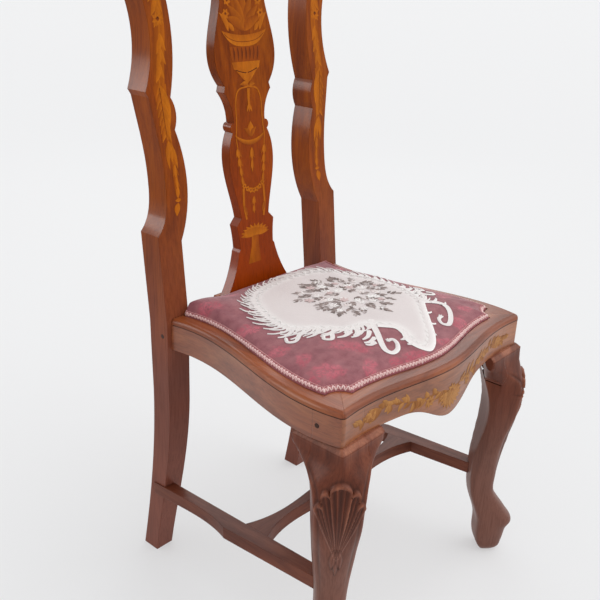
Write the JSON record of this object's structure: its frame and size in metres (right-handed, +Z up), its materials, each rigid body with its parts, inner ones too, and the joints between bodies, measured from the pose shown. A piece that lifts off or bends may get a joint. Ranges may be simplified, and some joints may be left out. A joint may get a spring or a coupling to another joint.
{
  "type": "upholstered dining chair",
  "caption": "High-back wooden side chair with a vase-shaped splat, cabriole front legs, an H-stretcher and a fixed upholstered seat, for sitting at a table.",
  "frame": {"origin": "on the floor, under the middle of the chair's box", "axes": "+Z up; the chair faces -Y, so the back is towards +Y; +X is to the right as seen from the front"},
  "size_m": [0.538, 0.5214, 1.068],
  "materials": {
    "back_veneer": "polished veneer with pale inlay",
    "rail_veneer": "polished veneer with pale inlay",
    "leg_wood": "waxed, carved",
    "frame_wood": "sawn, unfinished",
    "peg_wood": "end grain",
    "damask": "woven, satin figure on a matt ground",
    "gimp": "braided",
    "stuffing": "fibre",
    "hessian": "coarse weave",
    "webbing": "herringbone weave",
    "screw_steel": "plain",
    "tack_iron": "blued"
  },
  "bodies": {
    "root": {"rear_post_left": "back_veneer", "rear_post_right": "back_veneer", "crest_rail": "back_veneer", "splat": "back_veneer", "splat_shoe": "back_veneer", "front_rail": "rail_veneer", "back_rail": "rail_veneer", "side_rail_left": "rail_veneer", "side_rail_right": "rail_veneer", "rim_front": "rail_veneer", "rim_left": "rail_veneer", "rim_right": "rail_veneer", "front_leg_left": "leg_wood", "front_leg_right": "leg_wood", "front_knee_bracket_left": "leg_wood", "front_knee_bracket_right": "leg_wood", "side_knee_bracket_left": "leg_wood", "side_knee_bracket_right": "leg_wood", "side_stretcher_left": "leg_wood", "side_stretcher_right": "leg_wood", "cross_stretcher": "leg_wood", "front_corner_block_left": "frame_wood", "front_corner_block_right": "frame_wood", "rear_corner_block_left": "frame_wood", "rear_corner_block_right": "frame_wood", "joint_pegs": "peg_wood", "seat_cover": "damask", "gimp_braid": "gimp", "seat_stuffing": "stuffing", "hessian": "hessian", "webbing_long": "webbing", "webbing_cross": "webbing", "corner_block_screws": "screw_steel", "webbing_tacks": "tack_iron"}
  },
  "joints": []
}
